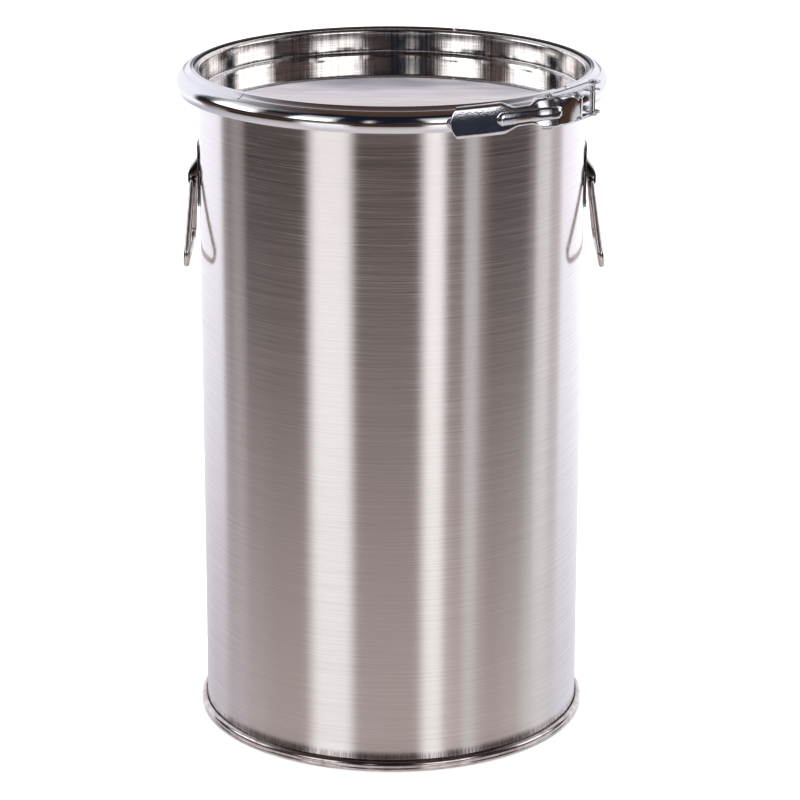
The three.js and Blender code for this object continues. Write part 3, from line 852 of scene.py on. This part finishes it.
def ring_line():
    """The middle of the ring's sheet: sloping flange with two faint ridges, round face and bottom flange."""
    half = RING_SHEET / 2
    cone = [(RING_TOP_EDGE, flange_z(RING_TOP_EDGE, -half - 0.05))]
    for middle, lift, rise in RING_RIDGES:
        for d in (-0.8, -0.5, -0.2, 0, 0.2, 0.5, 0.8):
            r = middle + d
            ridge = lift + rise * (1 - smooth(0, 0.8, abs(d)))
            cone.append((r, flange_z(r, -half + ridge - 0.05 * abs(d))))
    foot = RING_BOTTOM + half
    below = bend((187.2, 575.9, 0), (184.4, foot, 1.6), (RING_BOTTOM_EDGE, foot, 0))
    return cone + ring_face(-half, 56, -30, 34) + below[1:]


def slit_box(az):
    """A thin upright block across both flanges, which cuts a slit."""
    wide, deep, tall = SLIT_WIDTH / 2, SLIT_REACH / 2, 30
    corners = [(x, y, z) for x in (-wide, wide) for y in (-deep, deep) for z in (-tall, tall)]
    faces = [[0, 1, 3, 2], [4, 6, 7, 5], [0, 4, 5, 1], [2, 3, 7, 6], [0, 2, 6, 4], [1, 5, 7, 3]]
    middle = (*polar(az, SLIT_RADIUS), RING_Z)
    return turned((corners, faces), Matrix.Translation(middle) @ Matrix.Rotation(math.radians(az), 4, "Z"))


def ring_metal(centre):
    """Which of the ring's two metals a face has: 1 on the darkened inner edge of its top flange, else 0."""
    return int(math.hypot(centre.x, centre.y) < RING_TOP_EDGE + 0.35 and centre.z > RING_Z)


def make_ring():
    """The ring with its two slits, and the strip that bridges its gap."""
    outline = sheet(ring_line(), RING_SHEET)
    azimuths = turn_steps(RING_GAP[1], RING_GAP[0] + 360, 1.0)
    obj = holder_of("clamp_band", lathe(outline, azimuths))
    cut(obj, *[slit_box(az) for az in RING_SLITS], solver="FAST")
    finish_piece(obj, "ring", [CHROME, EDGE], ["clamp_ring"], 30, ring_metal)
    hoop = round_box(*BRIDGE_RADII, *BRIDGE_Z)
    bridge = holder_of("band_gap_strip", lathe(hoop, turn_steps(*BRIDGE_AZ, 1.0)))
    finish_piece(bridge, "ring", [CHROME], ["ring_gap_bridge"], 30)


def saddle_part(azimuths):
    """The foot of a bracket, laid over the ring's shoulder."""
    outwards = GAP + LATCH_SHEET / 2
    line = [(179, flange_z(179, outwards))] + ring_face(outwards, 52, -27, 24)
    return lathe(sheet(line, LATCH_SHEET), turn_steps(*azimuths, 0.5))


def ear_parts(az, r, nose, roots):
    """A bracket's two ears, from their roots on the ring's upper and lower shoulders to a round nose."""
    at = polar(az, r)
    parts = []
    for radius, low in zip(EAR_ROOTS, (RING_Z + EAR_Z, RING_Z - EAR_Z - LATCH_SHEET)):
        outline = [polar(roots[0], radius)] + arc(*at, nose, az - 180, az, 18) + [polar(roots[1], radius)]
        parts.append(slab([outline], low, low + LATCH_SHEET, 0.3))
    return parts


def make_brackets():
    """The lever's bracket, and the catch with its open jaw."""
    az, r = LEVER_PIN
    obj = holder_of("lever_hinge_bracket", saddle_part((az - 5.4, az + 1.4)))
    cut(obj, *ear_parts(az, r, EAR_NOSES[0], (az - 4.4, az + 1.2)), join=True)
    finish_piece(round_edges(obj, 0.25, 55), "ring", [CHROME], ["lever_bracket"])
    az, r = LINK_PIN
    at = Vector(polar(az, r))
    heading = math.radians(az - 100)
    mouth = at + JAW_REACH * Vector((math.cos(heading), math.sin(heading)))
    obj = holder_of("catch_hook_bracket", saddle_part((az - 1.4, az + 4)))
    cut(obj, *ear_parts(az, r, EAR_NOSES[1], (az - 1.3, az + 3.6)), join=True)
    jaw = strap([tuple(at), tuple(mouth)], JAW_HALF_WIDTH)
    cut(obj, slab([jaw], RING_Z - THROUGH, RING_Z + THROUGH, 0.01))
    finish_piece(round_edges(obj, 0.25, 55), "ring", [CHROME], ["catch_bracket"])


def lever_face(az):
    """Radius of the lever's outer face: a smooth curve through its stations."""
    last = len(LEVER_FACE) - 3
    i = next(i for i in range(1, last + 1) if az <= LEVER_FACE[i + 1][0] or i == last)
    (z0, r0), (z1, r1), (z2, r2), (z3, r3) = LEVER_FACE[i - 1 : i + 3]
    t = (az - z1) / (z2 - z1)
    a = (r2 - r0) / (z2 - z0) * (z2 - z1)
    b = (r3 - r1) / (z3 - z1) * (z2 - z1)
    return r1 + a * t + (3 * (r2 - r1) - 2 * a - b) * t * t + (a + b - 2 * (r2 - r1)) * t**3


def lever_half(az):
    """Half the height of the lever's strip at an azimuth."""
    half = GRIP_HALF_HEIGHT - (GRIP_HALF_HEIGHT - NECK_HALF_HEIGHT) * smooth(26.6, 31.4, az)
    return half + CHEEK_FLARE * (smooth(35.0, 38.2, az) - smooth(47.4, 49.4, az))


def lever_depth(az):
    """How far its edges are turned in: almost to the ring on the grip, past the link at the cheeks."""
    face = lever_face(az)
    neck, end = 3.0, 2.2
    depth = (face - 190.6) * smooth(LEVER_TIP_AZ, 17, az)
    cheek = face - (LINK_RIVET[1] - LINK_HALF_WIDTH)
    for goal, start, stop in ((neck, 27.5, 31), (cheek, 35.6, 38.4), (end, 43.6, 45.4)):
        depth += (goal - depth) * smooth(start, stop, az)
    return max(depth, end)


def droop(az):
    """The slack in the riveted joints lets the grip hang and the link's far end stand a little high."""
    return -GRIP_DROOP * (1 - smooth(14, 41, az))


def tilt_link(part):
    """A piece of the link, raised towards its far end."""
    verts, faces = part
    azimuths = [math.degrees(math.atan2(x, -y)) for x, y, z in verts]
    start = LINK_RIVET[0]
    return [(x, y, z + LINK_TILT * smooth(start, 60, az)) for az, (x, y, z) in zip(azimuths, verts)], faces


def rib_rise(az, z):
    """The raised rib with round ends along the lever's neck."""
    scale = math.radians(199)
    start, end = RIB_AZ[0] + RIB_HALF_HEIGHT / scale, RIB_AZ[1] - RIB_HALF_HEIGHT / scale
    along = max(start - az, az - end, 0) * scale
    off = math.hypot(along, z) / RIB_HALF_HEIGHT
    return RIB_RISE * math.sqrt(1 - off * off) ** 0.8 if off < 1 else 0


def lever_section(az_at):
    """Points of the strip's outer face from its lower to its upper edge, as (azimuth, radius, height). The
    azimuth changes with the height, as az_at gives it, because the tip is rounded."""
    rows = []
    mid = az_at(0)
    half, depth = lever_half(mid), lever_depth(mid)
    fold = 1.7 + 1.4 * (1 - smooth(26, 31, mid))  # radius of the turned edge, rounder on the grip
    depth = max(depth, fold + 0.5)
    flat, columns = half - fold, 44
    side = [(depth - (depth - fold) * i / 4, half) for i in range(4)]
    for i in range(7):
        a = math.radians(15 * i)
        side.append((fold - fold * math.sin(a), flat + fold * math.cos(a)))
    across = [(0, flat - 2 * flat * i / columns) for i in range(1, columns)]
    lower = [(d, -h) for d, h in side[::-1]]
    for d, h in (side + across + lower)[::-1]:
        az = az_at(h / half)
        web = smooth(35, 38, az) * (1 - smooth(41.5, 44, az))
        lean = math.radians(6.5 + 7.5 * web) * (1 - smooth(45, 49, az))
        crown = 0.9 * max(h / half, 0) ** 2 + math.tan(lean) * h
        rise = rib_rise(az, h) if d == 0 else 0
        rows.append((az, lever_face(az) - d - crown + rise, RING_Z + h + droop(az)))
    return rows


def make_lever():
    """The lever: a strip with turned-in edges, its rolled barrel, and the hole for the link's rivet."""
    end = LEVER_PIN[0] - 0.6
    count = 110
    rows = []
    for i in range(count + 1):
        share = i / count

        def az_at(up, share=share):
            start = LEVER_TIP_AZ + 1.9 * up * up
            return start + (end - start) * share

        rows.append([(*polar(az, r), z) for az, r, z in lever_section(az_at)])
    n = len(rows[0])
    verts = [p for row in rows for p in row]
    corners = [j * n + k for j in range(count) for k in range(n - 1)]
    faces = [[i, i + n, i + n + 1, i + 1] for i in corners]
    obj = new_object("closing_handle", bpy.data.meshes.new("closing_handle"))
    obj.data.from_pydata(verts, [], faces)
    middle = obj.data.polygons[len(faces) // 2]
    if middle.normal.dot(Vector((*middle.center[:2], 0))) < 0:
        obj.data.flip_normals()
    thick = obj.modifiers.new("thick", "SOLIDIFY")
    thick.thickness = LATCH_SHEET
    thick.offset = -1
    settle(obj)
    round_edges(obj, 0.35, 60)
    barrel = to_mesh("barrel", *upright(*LEVER_PIN, round_box(2.6, 4, RING_Z - 8, RING_Z + 8)))
    bm = bmesh.new()
    bm.from_mesh(obj.data)
    bm.from_mesh(barrel)
    bm.to_mesh(obj.data)
    bm.free()
    low, high = RING_Z - THROUGH, RING_Z + THROUGH
    cut(obj, upright(*LINK_RIVET, [(0, low), (PIN_HOLE, low), (PIN_HOLE, high), (0, high)]))
    finish_piece(obj, "lever", [LEVER_CHROME], ["closing_lever"], 40)


def make_links():
    """The two curved plates above and below the ring, from the rivet to a step past the end pin."""
    (a, ra), (b, rb) = LINK_RIVET, LINK_PIN
    steps = 14
    line = [polar(a + (b - a) * i / steps, ra + (rb - ra) * i / steps) for i in range(steps + 2)]
    outline = strap(line, LINK_HALF_WIDTH)
    holes = [arc(*polar(az, r), PIN_HOLE, 0, 350, 35)[::-1] for az, r in (LINK_RIVET, LINK_PIN)]
    for name, low in (("upper", LINK_PLATE_Z), ("lower", -LINK_PLATE_Z - LATCH_SHEET)):
        part = slab([outline, *holes], RING_Z + low, RING_Z + low + LATCH_SHEET, 0.4)
        obj = holder_of("link_strap_" + name, tilt_link(part))
        finish_piece(obj, "link", [CHROME], ["link_plate_" + name])


def pin_part(place, radius, head_radius, head, shank):
    """A pin with two hammered heads. Its shank is measured from its middle."""
    upper = [(radius, 0), (radius, shank), (head_radius - 0.2, shank), (head_radius, shank + head * 0.12)]
    for i in range(9):
        a = math.radians(10 * i)
        upper.append((head_radius * math.cos(a), shank + head * (0.25 + 0.75 * math.sin(a))))
    upper.append((0, shank + head))
    lower = [(q, -h) for q, h in upper[1:]][::-1]
    return upright(*place, [(q, RING_Z + h) for q, h in lower + upper], rough=0.5)


def make_pins():
    link_shank = LINK_PLATE_Z + LATCH_SHEET + GAP
    ear_shank = EAR_Z + LATCH_SHEET + GAP
    for name, place, size, shank, node, body in (
        ("rivet", LINK_RIVET, (2.6, 4.4, 1.6), link_shank, "link_rivet", "link"),
        ("end_pin", LINK_PIN, (2.6, 4.2, 1.5), link_shank, "link_end_pin", "link"),
        ("pivot_pin", LEVER_PIN, (2.2, 3.6, 0.9), ear_shank, "lever_pivot_pin", "ring"),
    ):
        part = pin_part(place, *size, shank)
        obj = holder_of(name, tilt_link(part) if body == "link" else part)
        finish_piece(obj, body, [CHROME], [node], 50)


make_body()
make_base()
make_handles()
make_lid()
make_ring()
make_brackets()
make_lever()
make_links()
make_pins()
for hidden in ("seam_seal", "lid_gasket"):
    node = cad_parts[hidden]
    for material_slot in node.material_slots:
        material_slot.material = RUBBER


# ---------------------------------------------------------------- studio

# Colours of the room that the metal reflects.
LAVENDER = (1.0, 1.0, 1.06)
HAZE = (0.84, 0.84, 0.92)
EDGE_ON = (0.90, 0.90, 0.98)
PINK = (0.81, 0.765, 0.82)
BROWN = (0.075, 0.04, 0.026)
NIGHT = (0.009, 0.012, 0.021)
TABLE = (0.68, 0.645, 0.655)
BLUE_GREY = (0.13, 0.145, 0.20)
MAUVE = (0.20, 0.165, 0.18)
SLATE = (0.018, 0.021, 0.032)
UMBER = (0.10, 0.075, 0.07)
TAN = (0.3, 0.24, 0.2)

# The light, the floor and the camera.
SUN_STRENGTH = 4.6
SUN_ANGLE = 60
FLOOR_REACH = 30
CAMERA_PLACE = (0.00756, -2.6827, 1.1345)  # metres
CAMERA_TILT = 72.477  # degrees up from looking straight down
CAMERA_ROLL = 0.00235  # radians
CAMERA_LENS = 140
CAMERA_SENSOR = 36


def warm(v, tint=1.0):
    """A brownish shade of a brightness. The tint is its strength."""
    return (v, (1 - 0.22 * tint) * v, (1 - 0.27 * tint) * v)


def cool(v):
    """A slightly bluish shade of a brightness."""
    return (v, 1.005 * v, 1.09 * v)


def lamp_edge(behind):
    """The row at the lamps' lower edge. Only its colour behind the can changes within it."""
    return [
        (-180, behind), (-173, behind), (-167, LAVENDER), (-130, LAVENDER), (-121, NIGHT),
        (-112, NIGHT), (-104, 2.1), (-83, 2.1), (-74, UMBER), (-59, UMBER), (-51, 2.3), (-36, 2.3),
        (-28, UMBER), (-16, NIGHT), (-12, 0.6), (-8, NIGHT), (16, UMBER), (25, 2.1), (43, 2.1),
        (53, UMBER), (77, UMBER), (87, 2.1), (107, 2.1), (114, NIGHT), (122, NIGHT), (130, LAVENDER),
        (167, LAVENDER), (173, behind), (180, behind),
    ]


# For each elevation, the room's colour or brightness at azimuths round the can.
ROOM = {
    -48: [(0, TABLE)],
    -34: [
        (-180, cool(0.70)), (-130, cool(0.58)), (-92, 0.58), (-56, warm(0.62, 0.5)), (-44, 0.90),
        (-28, 0.90), (-19, warm(0.64, 0.5)), (14, warm(0.64, 0.5)), (23, 0.90), (29, 0.90),
        (36, warm(0.72, 0.5)), (64, warm(0.66, 0.5)), (92, 0.68), (130, cool(0.70)), (180, cool(0.76)),
    ],
    -24: [
        (-180, cool(0.68)), (-165, cool(0.60)), (-130, (0.56, 0.53, 0.57)),
        (-115, (0.55, 0.515, 0.55)), (-92, warm(0.55, 0.45)), (-73, warm(0.50, 0.6)),
        (-56, warm(0.50, 0.6)), (-44, 0.96), (-28, 0.96), (-19, warm(0.52, 0.6)),
        (14, warm(0.52, 0.6)), (23, 1.0), (28, 1.0), (34, warm(0.68, 0.5)), (41, warm(0.62, 0.5)),
        (48, 0.66), (56, warm(0.55, 0.5)), (64, warm(0.52, 0.5)), (82, warm(0.60, 0.5)), (92, 0.72),
        (103, 0.74), (130, cool(0.72)), (160, cool(0.76)), (180, cool(0.74)),
    ],
    -12: [
        (-180, (0.88, 0.88, 0.96)), (-160, cool(1.1)), (-124, cool(1.15)), (-117, warm(0.34, 0.3)),
        (-112, warm(0.24, 0.3)), (-105, warm(0.36, 0.4)), (-101, warm(0.32, 0.4)), (-94, 0.01),
        (-54, 0.01), (-44, 1.2), (-28, 1.2), (-19, 0.008), (14, 0.008), (23, 1.3), (28, 1.3),
        (35, warm(0.11)), (41, warm(0.09)), (46, 0.62), (50, 0.65), (56, warm(0.18)), (61, 0.01),
        (86, 0.01), (92, warm(0.20)), (98, 0.78), (105, 0.86), (112, warm(0.55, 0.4)),
        (117, warm(0.6, 0.4)), (124, cool(1.15)), (160, cool(1.25)), (180, (0.95, 0.95, 1.02)),
    ],
    -4: [
        (-180, EDGE_ON), (-160, LAVENDER), (-130, LAVENDER), (-122, BROWN), (-94, BROWN), (-54, BROWN),
        (-46, TAN), (-30, TAN), (-22, BROWN), (12, BROWN), (20, TAN), (28, TAN), (31, BROWN),
        (36, SLATE), (41, (0.020, 0.025, 0.036)), (46, (0.020, 0.025, 0.036)), (52, SLATE),
        (60, BROWN), (122, BROWN), (130, LAVENDER), (160, LAVENDER), (180, EDGE_ON),
    ],
    8: [
        (-180, BLUE_GREY), (-173, BLUE_GREY), (-167, LAVENDER), (-130, LAVENDER), (-122, NIGHT),
        (-54, NIGHT), (-22, NIGHT), (35, NIGHT), (41, (0.045, 0.052, 0.07)),
        (45, (0.045, 0.052, 0.07)), (52, NIGHT), (122, NIGHT), (130, LAVENDER), (167, LAVENDER),
        (173, BLUE_GREY), (180, BLUE_GREY),
    ],
    11.58: lamp_edge(BLUE_GREY),
    11.8: lamp_edge(PINK),
    17: [
        (-180, PINK), (-150, LAVENDER), (-130, LAVENDER), (-121, 0.10), (-113, 0.12), (-105, 2.1),
        (-83, 2.1), (-74, UMBER), (-58, UMBER), (-51, 2.3), (-36, 2.3), (-28, NIGHT), (-16, NIGHT),
        (-12, 0.9), (-8, NIGHT), (16, NIGHT), (25, 2.1), (43, 2.1), (53, NIGHT), (77, UMBER),
        (87, 2.1), (108, 2.1), (114, 0.12), (122, 0.10), (130, LAVENDER), (150, LAVENDER), (180, PINK),
    ],
    38: [
        (-180, 0.80), (-150, HAZE), (-128, HAZE), (-120, 0.3), (-112, 0.8), (-88, 0.8), (-80, NIGHT),
        (-58, NIGHT), (-52, 0.5), (-34, 0.5), (-28, NIGHT), (14, NIGHT), (20, 0.6), (34, 0.6),
        (40, 0.3), (45, 0.7), (53, 0.6), (60, NIGHT), (82, NIGHT), (90, 0.8), (112, 0.8), (120, 0.4),
        (128, HAZE), (150, HAZE), (180, 0.80),
    ],
    50: [
        (-180, MAUVE), (-150, MAUVE), (-128, 0.30), (-90, 0.2), (-60, NIGHT), (30, NIGHT), (80, NIGHT),
        (110, 0.3), (128, 0.30), (150, MAUVE), (180, MAUVE),
    ],
    60: [(-180, UMBER), (-70, UMBER), (-56, NIGHT), (70, NIGHT), (90, UMBER), (180, UMBER)],
    70: [(0, (0.075, 0.045, 0.034))],
}


def make_world():
    """The room, as the metal sees it. The camera itself sees plain white."""
    world = bpy.data.worlds.new("studio")
    world.use_nodes = True
    bpy.context.scene.world = world
    t = Tree(world.node_tree)
    direction = t.add("ShaderNodeTexCoord").outputs["Generated"]
    x, y, z = t.add("ShaderNodeSeparateXYZ", {0: direction}).outputs
    turn = t.math("ARCTAN2", x, t.math("MULTIPLY", y, -1.0))
    around = t.span(turn, -math.pi, math.pi)
    up = t.math("MULTIPLY", t.math("ARCSINE", z), 180 / math.pi)
    color, below = None, None
    for elevation, stops in ROOM.items():
        row = [((az + 180) / 360 if len(stops) > 1 else az, v) for az, v in stops]
        if len(row) == 1:
            row.append((1, row[0][1]))
        shade = t.ramp(around, row, "EASE")
        color = shade if color is None else t.mix(t.span(up, below, elevation, smoothly=True), color, shade)
        below = elevation
    seen = t.add("ShaderNodeLightPath").outputs["Is Camera Ray"]
    color = t.mix(seen, color, (1.0, 1.0, 1.0))
    back = t.add("ShaderNodeBackground", {"Color": color, "Strength": 1.0})
    t.add("ShaderNodeOutputWorld", {"Surface": back.outputs[0]})


def make_floor():
    far = FLOOR_REACH
    corners = [(-far, -far, 0), (far, -far, 0), (far, far, 0), (-far, far, 0)]
    mesh = bpy.data.meshes.new("floor")
    mesh.from_pydata(corners, [], [[0, 1, 2, 3]])
    obj = new_object("floor", mesh)
    material, t = new_material("pale_floor")
    surface(t, 0.0, (0.955, 0.955, 0.96, 1), 0.9)
    mesh.materials.append(material)
    obj.visible_glossy = False


def make_light():
    light = bpy.data.lights.new("soft_top", "SUN")
    light.energy = SUN_STRENGTH
    light.angle = math.radians(SUN_ANGLE)
    new_object("soft_top", light).visible_glossy = False


def make_camera():
    data = bpy.data.cameras.new("camera")
    data.lens = CAMERA_LENS
    data.sensor_width = CAMERA_SENSOR
    obj = new_object("camera", data)
    turn = Matrix.Rotation(math.radians(CAMERA_TILT), 4, "X") @ Matrix.Rotation(CAMERA_ROLL, 4, "Z")
    obj.matrix_world = Matrix.Translation(CAMERA_PLACE) @ turn
    bpy.context.scene.camera = obj


make_world()
make_floor()
make_light()
make_camera()
bpy.context.scene.view_settings.view_transform = "Standard"
